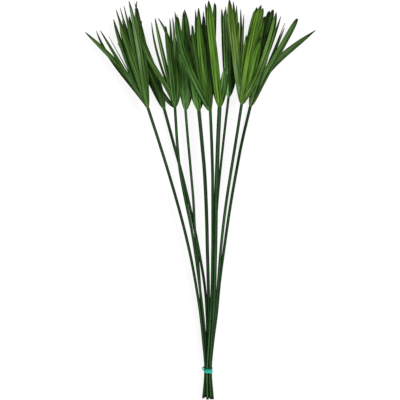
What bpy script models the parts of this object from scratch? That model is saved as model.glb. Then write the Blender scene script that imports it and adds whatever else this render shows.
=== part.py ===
"""A tied bunch of ten cut umbrella papyrus stalks, lying down.

Metres, +Z up. The bunch lies on the plane Z = 0 with its leaf tips towards +Y and its cut ends
towards -Y. Each stalk is a stem that carries one crown of narrow leaves, and a rubber band
holds the stems together near their cut ends.
"""

import bpy
import bmesh
import math
from collections import namedtuple
from mathutils import Matrix, Vector

MM = 0.001

# The stems where the band ties them, in millimetres
TIE_Y = -300.0
TIE_X = 13.4
STEM_PITCH = 4.7
ROW_PITCH = STEM_PITCH * math.sin(math.radians(60))
ROWS = 4
TIED_RADIUS = 2.1
FLARE = 1.68  # how much higher the bundle is at the cut ends than at the band
TAPER_POWER = 2.5  # a stem keeps its thickness for most of its length and narrows near the band
GAP = 0.3  # kept between pieces that touch

# The band's own section, in millimetres, and the reach of its turns to each side of the tie
BAND_WIDTH = 2.0
BAND_THICKNESS = 1.1
BAND_REACH = 4.2
BAND_PLACE = TIE_Y + 1.5  # the middle of its turns
BAND_BIGHT = 1.6
BAND_CLEARANCE = 0.45
# The band's course round the bundle, in degrees from +X towards +Z. It winds from its start
# through its turns to its stop, and a last strand crosses back over them on the top.
BAND_START = 60.0
BAND_STOP = 165.0
BAND_TURNS = 4
BAND_CROSSING = 105.0
BAND_STEP = 22.5
BAND_FALL = 30.0
BAND_RISE = 45.0
BAND_CORNER = 0.08  # how far the band's corners stand out where it bends
LOWEST_ROW = TIED_RADIUS + GAP + BAND_THICKNESS + BAND_CORNER
LEAST_REST = 0.1  # the lowest cut ends stay this far off the surface

# Distances along the bunch at which a stem's sideways place is given, from its crown to its tie
STEM_ROWS = (100.0, 50.0, 0.0, -50.0, -100.0, -150.0, -200.0, -250.0)
# Distances at which the tube of a stem has a ring, and the least from its top to the next
STEM_RINGS = (*STEM_ROWS, TIE_Y)
FIRST_RING = 20.0

# The knob that a crown's leaves grow from, in millimetres
KNOB_LENGTH = 5.0
KNOB_FOOT = 0.4
KNOB_SHOULDER = 1.5
KNOB_SIDES = 8
ROOT_INSET = 1.8

# Blade outline: share of the length, and share of the full width there. A bowed blade has the
# longer list.
BLADE = ((0.0, 0.6), (0.1, 0.88), (0.45, 1.0), (0.8, 0.74), (1.0, 0.1))
BOWED_BLADE = ((0.0, 0.6), (0.1, 0.86), (0.28, 1.0), (0.48, 1.0), (0.66, 0.9), (0.84, 0.66), (1.0, 0.1))
LEAST_BOW = 8.0
BOW_SCALE = 6.75  # makes a bow's widest offset equal to the value given for it
RISE_POWER = 1.6  # a blade leaves its crown steeply and levels out
SAG_POWER = 1.3
# The section of a blade, as shares of its width
KEEL_DEPTH = 0.13
EDGE_LIFT = 0.10
FOLD_LIFT = 0.03

# Four heights at which the crowns are stacked, each from its lowest to its highest leaf
LAYERS = ((0.5, 16.5), (23.0, 38.0), (44.5, 59.0), (65.5, 80.0))

Leaf = namedtuple("Leaf", "lean length width low high turn", defaults=(0, 0, 0))
Stalk = namedtuple("Stalk", "crown radius end slot foot row across layer sag leaves")
"""crown: where the leaves leave the stem, X Y Z. radius: at the crown. end: Y of the cut.
slot and row: place in the tied bundle, in stem pitches. foot: the same sideways at the cut.
across: X at STEM_ROWS. layer: of the crown in the stack. sag: how far the crown drops for each
millimetre to its left."""

# A leaf leans from +Y towards +X by its lean in degrees. Its length is measured straight from the
# crown to the tip. It bows sideways by low at a third and by high at two thirds of its length, and
# turn rolls it about its own line. The leaves of a crown are listed from the lowest up.
STALKS = (
    Stalk(
        crown=(-92.7, 163.6, 26.0), radius=2.6, end=-348.5,
        slot=-1.0, foot=-1.8, row=2, layer=1, sag=0.25,
        across=(-72.1, -56.6, -42.0, -28.6, -17.1, -7.8, -0.2, 5.0),
        leaves=(
            Leaf(-33.7, 162, 6, -1, -6.5),
            Leaf(-25, 124, 3, 0, 0, 40),
            Leaf(-28.7, 142, 3, 0, 0, 40),
            Leaf(-19, 150, 12),
            Leaf(-11.5, 163, 7),
            Leaf(-15.6, 180, 6.5),
            Leaf(-21.2, 165, 9, -2, -3),
            Leaf(-7.2, 183, 6.5, 1, 2.5),
            Leaf(-12, 160, 6),
            Leaf(-3, 105, 6, 0.5),
            Leaf(-13.3, 181, 7),
            Leaf(-31.5, 158, 6, -0.5, -0.5, 15),
            Leaf(-39.5, 171, 9, 3.4, 3.2),
            Leaf(-18, 178, 9),
            Leaf(-10.1, 187, 9.5, 0.5, 2.2),
        ),
    ),
    Stalk(
        crown=(-64.6, 162.9, 5.5), radius=2.6, end=-347.0,
        slot=0.0, foot=0.0, row=0, layer=0, sag=0.0,
        across=(-47.4, -33.8, -21.5, -10.6, -0.9, 7.4, 11.0, 12.3),
        leaves=(
            Leaf(-25, 128, 8, -1, 0, 10),
            Leaf(-27.5, 112, 8),
            Leaf(-22, 160, 9, -3, -2),
            Leaf(-15.7, 191, 7, -6, 0, 15),
            Leaf(-14.8, 181, 9, -3, -4.2, 15),
            Leaf(-24, 100, 7, 2, 0, 10),
            Leaf(-13, 152, 8, -3, -3, 10),
            Leaf(-17, 140, 9, 4),
            Leaf(-14.7, 192, 11, -2, -9),
            Leaf(-18, 130, 9, 2, -3),
        ),
    ),
    Stalk(
        crown=(-44.8, 164.9, 31.0), radius=2.45, end=-347.5,
        slot=-0.5, foot=-0.85, row=1, layer=1, sag=0.0,
        across=(-40.7, -35.6, -26.4, -15.9, -8.1, -1.6, 4.4, 8.6),
        leaves=(
            Leaf(-31, 106, 8.5, -6, -1, 10),
            Leaf(-4, 126, 7, 8, 3, 10),
            Leaf(-3.3, 157, 6, 0, 0, 25),
            Leaf(-15.3, 158, 4.5, 0.5, -3.6, 30),
            Leaf(-7, 140, 7),
            Leaf(-1.5, 160, 6, 0, 2, 10),
            Leaf(-12.6, 158, 7, -0.5, -1.3),
            Leaf(-21, 159, 8, 3, -13.5),
            Leaf(-11, 159, 7, 3, 13),
            Leaf(-9.5, 147, 9),
        ),
    ),
    Stalk(
        crown=(-26.5, 160.4, 15.0), radius=2.3, end=-348.0,
        slot=-1.0, foot=-1.75, row=0, layer=0, sag=0.0,
        across=(-21.5, -16.9, -12.5, -9.9, -4.9, -1.1, 2.6, 6.3),
        leaves=(
            Leaf(4.5, 130, 8, 0, 0, 15),
            Leaf(-8, 130, 8, -2),
            Leaf(-2, 158, 7, 2, 0, 10),
            Leaf(9, 112, 8, 4),
            Leaf(-3, 150, 9),
            Leaf(-5.2, 170, 6, 0, 1, 20),
            Leaf(2, 120, 8, 3),
            Leaf(-1.2, 171, 9, 0, -1),
            Leaf(-0.6, 174, 12, 0, 5.5),
            Leaf(5, 140, 10, 2),
            Leaf(-6.2, 175, 7, 0, 1),
            Leaf(-4, 120, 8, -1.5),
        ),
    ),
    Stalk(
        crown=(-3.0, 159.0, 31.0), radius=3.2, end=-349.0,
        slot=0.0, foot=0.1, row=2, layer=1, sag=0.0,
        across=(2.6, 7.1, 9.7, 11.3, 12.5, 13.8, 14.6, 14.1),
        leaves=(
            Leaf(-14, 120, 8, -4),
            Leaf(8, 120, 8, 3),
            Leaf(-10, 138, 7, -1, 0, 10),
            Leaf(5, 146, 7, 1, 0, 10),
            Leaf(-2, 174, 6, 0, 0, 10),
            Leaf(2.6, 171, 7, 0, 0, 10),
            Leaf(-2.6, 140, 8),
            Leaf(0, 150, 9),
            Leaf(-4, 145, 9, 0, -2),
            Leaf(-8, 110, 13, -1),
        ),
    ),
    Stalk(
        crown=(17.0, 157.4, 51.0), radius=2.65, end=-350.0,
        slot=-0.4, foot=-0.25, row=3, layer=2, sag=0.0,
        across=(19.4, 21.0, 21.3, 21.4, 21.1, 20.1, 18.2, 14.6),
        leaves=(
            Leaf(-24, 110, 8, -4),
            Leaf(-1, 155, 8, 0, -1, 15),
            Leaf(1.5, 140, 7, 1),
            Leaf(-15, 130, 8, 0, -2),
            Leaf(-3.5, 162, 8, 0, -2, 15),
            Leaf(-8.3, 171, 8, -2, -4, 10),
            Leaf(-12, 150, 9, -2, -3),
            Leaf(-6.5, 177, 12, -2, -2.6),
            Leaf(-4.5, 120, 9, 1),
            Leaf(-19.6, 168, 12, -4, -8),
        ),
    ),
    Stalk(
        crown=(33.2, 163.5, 72.0), radius=3.6, end=-349.5,
        slot=0.6, foot=1.0, row=3, layer=3, sag=0.0,
        across=(30.3, 28.6, 27.1, 26.5, 25.8, 24.7, 22.6, 19.2),
        leaves=(
            Leaf(-11, 120, 8, -3),
            Leaf(14, 58, 7, 2),
            Leaf(-5, 150, 9, 1),
            Leaf(-9, 144, 8, -1, -1, 10),
            Leaf(-7.8, 177, 9, -1, -0.5, 10),
            Leaf(-2.4, 175.5, 8, -4.5, -2.4),
            Leaf(7.5, 71, 9, 0.5),
            Leaf(-2, 130, 8, 0, -1),
            Leaf(-5.9, 181, 13, 0, -1),
        ),
    ),
    Stalk(
        crown=(49.7, 183.5, 10.0), radius=2.2, end=-347.0,
        slot=0.5, foot=0.85, row=1, layer=0, sag=0.0,
        across=(40.0, 34.6, 30.0, 26.8, 24.7, 22.7, 20.6, 18.2),
        leaves=(
            Leaf(8, 130, 9, 5),
            Leaf(-6, 110, 6, -2, 0, 20),
            Leaf(5, 118, 9, 2),
            Leaf(-3, 128, 9, -2),
            Leaf(3, 140, 9),
            Leaf(-4.4, 153, 6.5, -1, -0.8, 10),
            Leaf(-0.5, 155, 6, 0, 0, 15),
            Leaf(-1.8, 156, 7, 0, 0, 10),
            Leaf(-2.3, 150, 12, 0, 0.5),
        ),
    ),
    Stalk(
        crown=(72.3, 170.4, 31.0), radius=2.6, end=-350.5,
        slot=1.0, foot=1.75, row=2, layer=1, sag=0.0,
        across=(61.5, 53.4, 45.7, 39.4, 34.6, 30.7, 26.4, 21.2),
        leaves=(
            Leaf(20, 130, 9, 6),
            Leaf(15, 150, 12, 2),
            Leaf(24, 166, 7, 4, 2.5, 20),
            Leaf(-0.5, 164, 6, 0, 0, 20),
            Leaf(7.6, 162, 7, -1, -3.4, 20),
            Leaf(1.5, 154, 5, -1, -1, 10),
            Leaf(-4.6, 177, 9, 0, 0, 10),
            Leaf(-2.9, 170, 7, 0, -1.5, 10),
            Leaf(14.3, 154, 10, -1),
            Leaf(12.6, 168, 10, -2, -1, 5),
            Leaf(4, 118, 10),
            Leaf(9.1, 166, 11, -1, -2.5),
            Leaf(16, 118, 13, 3),
            Leaf(-2, 140, 6, -1, -2),
            Leaf(-6.7, 181, 12, 0, -1),
            Leaf(10.8, 169.5, 12, -1, -2),
            Leaf(20.7, 168, 10.5, 5, 5),
        ),
    ),
    Stalk(
        crown=(88.3, 167.1, 8.0), radius=2.6, end=-347.0,
        slot=1.0, foot=1.7, row=0, layer=0, sag=0.0,
        across=(72.6, 63.1, 54.3, 46.7, 39.7, 33.3, 28.6, 22.2),
        leaves=(
            Leaf(5.7, 130, 8),
            Leaf(40.5, 174, 11, -13.5, -4.8),
            Leaf(9.2, 157, 10),
            Leaf(11.2, 169, 11, 0, 0, 5),
            Leaf(22.5, 156, 3),
            Leaf(26.3, 131, 8, 0, 0, 25),
            Leaf(23.4, 148, 6, 0, 0, 20),
            Leaf(13.2, 171, 11),
            Leaf(28.1, 171, 11, -2),
            Leaf(18, 110, 9),
        ),
    ),
)


def clear_scene():
    for old in list(bpy.data.objects):
        bpy.data.objects.remove(old, do_unlink=True)


def new_collection(name):
    collection = bpy.data.collections.new(name)
    bpy.context.scene.collection.children.link(collection)
    return collection


def new_material(name, colour, roughness):
    material = bpy.data.materials.new(name)
    material.use_nodes = True
    shader = material.node_tree.nodes["Principled BSDF"]
    shader.inputs["Base Color"].default_value = (*colour, 1.0)
    shader.inputs["Roughness"].default_value = roughness
    shader.inputs["Metallic"].default_value = 0.0
    return material


def smooth_value(places, values, at):
    """The value at a place on the smooth curve through the given ones, which run downwards."""
    last = len(places) - 1
    i = next((n for n in range(last) if at >= places[n + 1]), last - 1)

    def slope(n):
        a, b = max(n - 1, 0), min(n + 1, last)
        return (values[b] - values[a]) / (places[b] - places[a])

    span = places[i + 1] - places[i]
    t = (at - places[i]) / span
    keep, go = (1 + 2 * t) * (1 - t) ** 2, t * t * (3 - 2 * t)
    lead, trail = t * (1 - t) ** 2, t * t * (t - 1)
    bend = span * (lead * slope(i) + trail * slope(i + 1))
    return keep * values[i] + go * values[i + 1] + bend


def stem_at(stalk, y):
    """Centre X and Z of a stem and its radius, in millimetres, at a distance along the bunch."""
    crown_x, crown_y, crown_z = stalk.crown
    tied_z = LOWEST_ROW + stalk.row * ROW_PITCH
    middle_z = LOWEST_ROW + (ROWS - 1) / 2 * ROW_PITCH
    tied_x = TIE_X + stalk.slot * STEM_PITCH
    end_x = TIE_X + stalk.foot * STEM_PITCH
    end_z = max(middle_z + (tied_z - middle_z) * FLARE, TIED_RADIUS + LEAST_REST)
    places = (crown_y, *STEM_ROWS, TIE_Y, stalk.end)
    x = smooth_value(places, (crown_x, *stalk.across, tied_x, end_x), y)
    z = smooth_value((crown_y, TIE_Y, stalk.end), (crown_z, tied_z, end_z), y)
    share = min(1.0, (crown_y - y) / (crown_y - TIE_Y))
    if y >= TIE_Y:
        z = crown_z + (tied_z - crown_z) * share
    radius = stalk.radius + (TIED_RADIUS - stalk.radius) * share ** TAPER_POWER
    return x, z, radius


def tube_points(stalk):
    """Centre points and radii of a stem, from just under its crown to its cut end."""
    direction = crown_direction(stalk)
    top = Vector(stalk.crown) - direction * GAP
    points = [(top, stalk.radius)]
    for y in (*[y for y in STEM_RINGS if y < top.y - FIRST_RING], stalk.end):
        x, z, radius = stem_at(stalk, y)
        points.append((Vector((x, y, z)), radius))
    return points


def crown_direction(stalk):
    """Unit vector along the top of a stem, pointing out of it."""
    below = stalk.crown[1] - 1.5 * FIRST_RING
    x, z, _ = stem_at(stalk, below)
    return (Vector(stalk.crown) - Vector((x, below, z))).normalized()


def curve_object(name, points, cyclic=False):
    """A poly curve through points of a place and a radius, both in millimetres."""
    curve = bpy.data.curves.new(name, "CURVE")
    curve.dimensions = "3D"
    spline = curve.splines.new("POLY")
    spline.points.add(len(points) - 1)
    for point, (place, radius) in zip(spline.points, points):
        point.co = (*(place * MM), 1.0)
        point.radius = radius
    spline.use_cyclic_u = cyclic
    spline.use_smooth = True
    curve.use_fill_caps = not cyclic
    return bpy.data.objects.new(name, curve)


def mesh_of_curve(obj, name):
    """The curve's tube as a closed mesh. The curve is removed."""
    bpy.context.view_layer.update()
    evaluated = obj.evaluated_get(bpy.context.evaluated_depsgraph_get())
    mesh = bpy.data.meshes.new_from_object(evaluated)
    mesh.name = name
    mesh.transform(obj.matrix_world)
    welded = bmesh.new()
    welded.from_mesh(mesh)
    bmesh.ops.remove_doubles(welded, verts=welded.verts, dist=0.00001)
    bmesh.ops.recalc_face_normals(welded, faces=welded.faces)
    welded.to_mesh(mesh)
    welded.free()
    bpy.data.objects.remove(obj, do_unlink=True)
    return mesh


def profile_object(name, corners, collection):
    """A closed outline that a curve carries along itself. It is a guide and isn't rendered."""
    curve = bpy.data.curves.new(name, "CURVE")
    curve.dimensions = "2D"
    curve.fill_mode = "NONE"
    spline = curve.splines.new("POLY")
    spline.points.add(len(corners) - 1)
    for point, (x, y) in zip(spline.points, corners):
        point.co = (x, y, 0.0, 1.0)
    spline.use_cyclic_u = True
    obj = bpy.data.objects.new(name, curve)
    obj.hide_render = True
    obj.display_type = "WIRE"
    collection.objects.link(obj)
    return obj


def make_stem(number, stalk, material, collection):
    curve = curve_object(f"stem_{number:02d}_line", tube_points(stalk))
    curve.data.bevel_depth = MM
    curve.data.bevel_resolution = 1
    collection.objects.link(curve)
    mesh = mesh_of_curve(curve, f"stem_{number:02d}")
    mesh.shade_smooth()
    mesh.set_sharp_from_angle(angle=math.radians(50))
    mesh.materials.clear()
    mesh.materials.append(material)
    stem = bpy.data.objects.new(f"stem_{number:02d}", mesh)
    collection.objects.link(stem)


def leaf_line(stalk, leaf, tip_z):
    """Centre points of a blade from inside the crown's knob to its tip, with its width at each."""
    lean = math.radians(leaf.lean)
    along = Vector((math.sin(lean), math.cos(lean), 0.0))
    side = Vector((math.cos(lean), -math.sin(lean), 0.0))
    root = Vector(stalk.crown) + crown_direction(stalk) * ROOT_INSET
    drop = max(0.0, -math.sin(lean)) * leaf.length * stalk.sag
    line = []
    bowed = abs(leaf.low) + abs(leaf.high) >= LEAST_BOW
    for share, width in BOWED_BLADE if bowed else BLADE:
        low = BOW_SCALE * share * (1 - share) ** 2 * leaf.low
        high = BOW_SCALE * share ** 2 * (1 - share) * leaf.high
        place = root + along * (leaf.length - ROOT_INSET) * share + side * (low + high)
        rise = 1 - (1 - share) ** RISE_POWER
        place.z = root.z + (tip_z - root.z) * rise - drop * share ** SAG_POWER
        line.append((place, width * leaf.width))
    return line


def make_crown(number, stalk, profile, material, collection):
    """A whorl of blades that leave one knob, as a single body."""
    name = f"leaf_crown_{number:02d}"
    lowest, highest = LAYERS[stalk.layer]
    blades = bmesh.new()
    for i, leaf in enumerate(stalk.leaves):
        tip_z = lowest + (highest - lowest) * i / (len(stalk.leaves) - 1)
        curve = curve_object(f"{name}_blade", leaf_line(stalk, leaf, tip_z))
        curve.data.bevel_mode = "OBJECT"
        curve.data.bevel_object = profile
        curve.data.twist_mode = "Z_UP"
        for point in curve.data.splines[0].points:
            point.tilt = math.radians(leaf.turn)
        collection.objects.link(curve)
        mesh = mesh_of_curve(curve, f"{name}_blade")
        blades.from_mesh(mesh)
        bpy.data.meshes.remove(mesh)
    blade_mesh = bpy.data.meshes.new(f"{name}_blades")
    blades.to_mesh(blade_mesh)
    blades.free()
    blade_object = bpy.data.objects.new(f"{name}_blades", blade_mesh)
    collection.objects.link(blade_object)

    knob = bmesh.new()
    bmesh.ops.create_cone(
        knob, cap_ends=True, segments=KNOB_SIDES, depth=KNOB_LENGTH * MM,
        radius1=(stalk.radius + KNOB_FOOT) * MM, radius2=(stalk.radius + KNOB_SHOULDER) * MM,
    )
    direction = crown_direction(stalk)
    place = (Vector(stalk.crown) + direction * KNOB_LENGTH / 2) * MM
    turned = direction.to_track_quat("Z", "Y").to_matrix().to_4x4()
    knob.transform(Matrix.Translation(place) @ turned)
    knob_mesh = bpy.data.meshes.new(f"{name}_knob")
    knob.to_mesh(knob_mesh)
    knob.free()
    crown = bpy.data.objects.new(name, knob_mesh)
    collection.objects.link(crown)

    union = crown.modifiers.new("join blades", "BOOLEAN")
    union.operation = "UNION"
    union.solver = "EXACT"
    union.use_self = True
    union.object = blade_object
    bpy.context.view_layer.update()
    evaluated = crown.evaluated_get(bpy.context.evaluated_depsgraph_get())
    joined = bpy.data.meshes.new_from_object(evaluated)
    joined.name = name
    crown.modifiers.clear()
    crown.data = joined
    bpy.data.meshes.remove(knob_mesh)
    bpy.data.objects.remove(blade_object, do_unlink=True)
    bpy.data.meshes.remove(blade_mesh)
    joined.materials.clear()
    joined.materials.append(material)
    joined.shade_flat()


def hull_point(angle, y, lift):
    """Where the band's middle lies around the tied stems, for the outward direction at an angle."""
    out = Vector((math.cos(angle), 0.0, math.sin(angle)))
    reach = GAP + BAND_THICKNESS / 2 + lift
    best = None
    for stalk in STALKS:
        # The tubes are straight between their rings, so the band follows those straight lines.
        above, below = (STEM_RINGS[-2], TIE_Y) if y > TIE_Y else (TIE_Y, stalk.end)
        share = (y - above) / (below - above)
        x0, z0, radius0 = stem_at(stalk, above)
        x1, z1, radius1 = stem_at(stalk, below)
        radius = radius0 + (radius1 - radius0) * share
        point = Vector((x0 + (x1 - x0) * share, y, z0 + (z1 - z0) * share)) + out * (radius + reach)
        if best is None or point.dot(out) > best.dot(out):
            best = point
    return best


def ramp(value, start, stop):
    """Goes smoothly from 0 to 1 as the value goes from start to stop."""
    share = min(1.0, max(0.0, (value - start) / (stop - start)))
    return share * share * (3 - 2 * share)


def band_line():
    """One closed loop: it winds up the bundle and crosses back over its own turns on the top."""
    wound = BAND_START - BAND_STOP + BAND_TURNS * 360.0
    whole = wound + BAND_CROSSING
    lifted = BAND_THICKNESS + BAND_CLEARANCE
    steps = round(whole / BAND_STEP)
    line = []
    for n in range(steps):
        gone = n * whole / steps
        if gone <= wound:
            y = BAND_PLACE - BAND_REACH + 2 * BAND_REACH * gone / wound
        else:
            y = BAND_PLACE + BAND_REACH - 2 * BAND_REACH * (gone - wound) / BAND_CROSSING
        down = 1 - ramp(gone, 0.0, BAND_FALL)
        up = ramp(gone, wound - BAND_RISE, wound - BAND_RISE / 4)
        bight = ramp(gone, wound - BAND_RISE, wound - BAND_RISE / 3)
        bight *= 1 - ramp(gone, wound - BAND_RISE / 3, wound + BAND_FALL)
        lift = lifted * (down + up) + BAND_BIGHT * bight
        line.append((hull_point(math.radians(BAND_START - gone), y, lift), 1.0))
    return line


def make_band(profile, material, collection):
    # The loop is bent flat, round the vertical, so that its flat side faces the stems all round,
    # and then turned to lie round the bunch's own length.
    upright = Matrix.Rotation(math.radians(90), 4, "X")
    line = [(upright.inverted() @ place, size) for place, size in band_line()]
    curve = curve_object("rubber_band_line", line, cyclic=True)
    curve.data.bevel_mode = "OBJECT"
    curve.data.bevel_object = profile
    curve.data.twist_mode = "Z_UP"
    curve.matrix_world = upright
    collection.objects.link(curve)
    mesh = mesh_of_curve(curve, "rubber_band")
    mesh.shade_smooth()
    mesh.set_sharp_from_angle(angle=math.radians(40))
    mesh.materials.clear()
    mesh.materials.append(material)
    collection.objects.link(bpy.data.objects.new("rubber_band", mesh))


def settle(collection):
    """Moves the whole bunch so that the box round it is centred on the origin and stands on Z = 0."""
    bpy.context.view_layer.update()
    corners = [Vector(corner) for obj in collection.objects for corner in obj.bound_box]
    low = Vector([min(corner[i] for corner in corners) for i in range(3)])
    high = Vector([max(corner[i] for corner in corners) for i in range(3)])
    middle = (low + high) / 2
    for obj in collection.objects:
        obj.data.transform(Matrix.Translation((-middle.x, -middle.y, -low.z)))


def main():
    clear_scene()
    bunch = new_collection("bunch_of_papyrus")
    guides = new_collection("guides")
    stem_green = new_material("stem green", (0.030, 0.065, 0.027), 0.5)
    leaf_green = new_material("leaf green", (0.060, 0.125, 0.030), 0.5)
    band_teal = new_material("band teal", (0.020, 0.420, 0.300), 0.4)

    # The section of a blade 1 mm wide. A curve widens it to the width of each of its points.
    edge, fold, keel = EDGE_LIFT * MM, FOLD_LIFT * MM, (FOLD_LIFT - KEEL_DEPTH) * MM
    blade = profile_object(
        "blade_section", ((-MM / 2, edge), (0.0, keel), (MM / 2, edge), (0.0, fold)), guides
    )
    half_width, half_thickness = BAND_WIDTH / 2 * MM, BAND_THICKNESS / 2 * MM
    flat = profile_object(
        "band_section",
        (
            (-half_thickness, -half_width),
            (half_thickness, -half_width),
            (half_thickness, half_width),
            (-half_thickness, half_width),
        ),
        guides,
    )
    for i, stalk in enumerate(STALKS):
        make_stem(i + 1, stalk, stem_green, bunch)
        make_crown(i + 1, stalk, blade, leaf_green, bunch)
    make_band(flat, band_teal, bunch)
    settle(bunch)


main()
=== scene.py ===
import bpy
import bmesh
import math
import random
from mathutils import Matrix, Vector


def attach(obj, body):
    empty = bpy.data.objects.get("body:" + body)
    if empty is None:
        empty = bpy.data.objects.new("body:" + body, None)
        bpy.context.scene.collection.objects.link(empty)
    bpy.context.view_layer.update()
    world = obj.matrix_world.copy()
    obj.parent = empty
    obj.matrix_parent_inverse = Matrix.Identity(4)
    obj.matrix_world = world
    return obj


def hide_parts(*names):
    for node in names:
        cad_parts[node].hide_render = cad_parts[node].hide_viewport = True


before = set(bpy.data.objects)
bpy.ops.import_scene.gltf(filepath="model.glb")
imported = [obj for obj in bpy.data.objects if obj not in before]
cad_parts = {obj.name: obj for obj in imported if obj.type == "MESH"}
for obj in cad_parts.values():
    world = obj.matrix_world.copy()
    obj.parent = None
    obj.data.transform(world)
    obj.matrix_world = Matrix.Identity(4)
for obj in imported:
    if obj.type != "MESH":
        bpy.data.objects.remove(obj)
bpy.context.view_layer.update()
print("frame loaded:", len(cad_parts), "nodes")

mm = 0.001
weldDistance = 1e-6


# Helpers for node trees

class Wire:
    # A socket of a node tree. Sums and products of wires add Math nodes.
    def __init__(self, maker, socket):
        self.maker = maker
        self.socket = socket

    def math(self, operation, first, second=0.0):
        return self.maker.add("ShaderNodeMath", {"operation": operation}, {0: first, 1: second})

    def __add__(self, other):
        return self.math("ADD", self, other)

    def __radd__(self, other):
        return self.math("ADD", other, self)

    def __sub__(self, other):
        return self.math("SUBTRACT", self, other)

    def __rsub__(self, other):
        return self.math("SUBTRACT", other, self)

    def __mul__(self, other):
        return self.math("MULTIPLY", self, other)

    def __rmul__(self, other):
        return self.math("MULTIPLY", other, self)

    def __truediv__(self, other):
        return self.math("DIVIDE", self, other)

    def __rtruediv__(self, other):
        return self.math("DIVIDE", other, self)

    def __pow__(self, other):
        return self.math("POWER", self, other)

    def __abs__(self):
        return self.math("ABSOLUTE", self)

    def sine(self):
        return self.math("SINE", self)

    def most(self, other):
        return self.math("MAXIMUM", self, other)

    def out(self, name):
        # another output of the same node
        return Wire(self.maker, self.socket.node.outputs[name])


class NodeMaker:
    def __init__(self, tree):
        self.tree = tree

    def add(self, kind, settings=None, sockets=None):
        node = self.tree.nodes.new(kind)
        for name, value in (settings or {}).items():
            setattr(node, name, value)
        for name, value in (sockets or {}).items():
            socket = node.inputs[name]
            if isinstance(value, Wire):
                self.tree.links.new(value.socket, socket)
            else:
                socket.default_value = value
        shown = [socket for socket in node.outputs if socket.enabled]
        return Wire(self, shown[0]) if shown else None

    def range(self, value, start, stop):
        # smooth step from 0 to 1 while value goes from start to stop
        return self.add("ShaderNodeMapRange", {"interpolation_type": "SMOOTHSTEP"}, {
            "Value": value, "From Min": start, "From Max": stop})

    def blend(self, share, first, second, how="MIX"):
        # a mix of two colours, with this share of the second one
        return self.add("ShaderNodeMix", {"data_type": "RGBA", "blend_type": how},
                        {"Factor": share, 6: first, 7: second})

    def over(self, colour, share, paint):
        # lays a paint of three numbers over a colour
        return self.blend(share, colour, (*paint, 1.0))

    def combine(self, x, y, z):
        return self.add("ShaderNodeCombineXYZ", {}, {"X": x, "Y": y, "Z": z})

    def noise(self, vector, scale, detail, roughness=0.5):
        return self.add("ShaderNodeTexNoise", {}, {"Vector": vector, "Scale": scale, "Detail": detail,
                                                   "Roughness": roughness})

    def attribute(self, name, output="Fac"):
        return self.add("ShaderNodeAttribute", {"attribute_name": name}).out(output)


def startTree(name, inputs):
    # A Geometry Nodes tree with a geometry in and out, and named sizes
    tree = bpy.data.node_groups.new(name, "GeometryNodeTree")
    tree.interface.new_socket("Geometry", in_out="INPUT", socket_type="NodeSocketGeometry")
    tree.interface.new_socket("Geometry", in_out="OUTPUT", socket_type="NodeSocketGeometry")
    kinds = {float: "NodeSocketFloat", int: "NodeSocketInt"}
    for label, value in inputs.items():
        socket = tree.interface.new_socket(label, in_out="INPUT", socket_type=kinds[type(value)])
        socket.default_value = value
    make = NodeMaker(tree)
    return tree, make, make.add("NodeGroupInput")


def endTree(make, geometry, material):
    realized = make.add("GeometryNodeRealizeInstances", {}, {"Geometry": geometry})
    dressed = make.add("GeometryNodeSetMaterial", {}, {"Geometry": realized, "Material": material})
    make.add("NodeGroupOutput", {}, {"Geometry": dressed})


def namedFloat(make, name):
    return make.add("GeometryNodeInputNamedAttribute", {"data_type": "FLOAT"}, {"Name": name})


def namedVector(make, name):
    return make.add("GeometryNodeInputNamedAttribute", {"data_type": "FLOAT_VECTOR"}, {"Name": name})


def storeFloat(make, geometry, name, value):
    return make.add("GeometryNodeStoreNamedAttribute", {"data_type": "FLOAT", "domain": "POINT"},
                    {"Geometry": geometry, "Name": name, "Value": value})


def sectionRing(make, given):
    # a circle of radius 1, and the X and Y of its points
    ring = make.add("GeometryNodeCurvePrimitiveCircle", {"mode": "RADIUS"},
                    {"Resolution": given.out("Section points"), "Radius": 1.0})
    place = make.add("ShaderNodeSeparateXYZ", {}, {0: make.add("GeometryNodeInputPosition")})
    return ring, place.out("X"), place.out("Y")


def levelPath(make, given, widthName):
    # the path as a curve that stays level across, and its widths
    line = make.add("GeometryNodeMeshToCurve", {}, {"Mesh": given.out("Geometry")})
    width = namedFloat(make, widthName)
    wide = make.add("GeometryNodeSetCurveRadius", {}, {"Curve": line, "Radius": width})
    return make.add("GeometryNodeSetCurveNormal", {"mode": "Z_UP"}, {"Curve": wide}), width


def slowNoise(make, given, seedName, scale):
    # from -1 to 1, slow from place to place and another one for each seed
    spot = make.add("GeometryNodeInputPosition")
    seeded = make.add("ShaderNodeTexNoise", {"noise_dimensions": "4D"}, {
        "Vector": spot, "W": namedFloat(make, seedName) + given.out("Seed"),
        "Scale": scale, "Detail": 1.0})
    return (seeded - 0.5) * 2.0


def toothNoise(make, form, acrossName, seedName):
    # from 0 to 1, for the teeth of an uneven end
    across = namedFloat(make, acrossName) * form["toothFineness"]
    seed = namedFloat(make, seedName) * form["toothSeed"]
    return make.add("ShaderNodeTexNoise", {"noise_dimensions": "2D"}, {
        "Vector": make.combine(across, seed, 0.0), "Scale": 1.0, "Detail": form["toothDetail"]})


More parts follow.
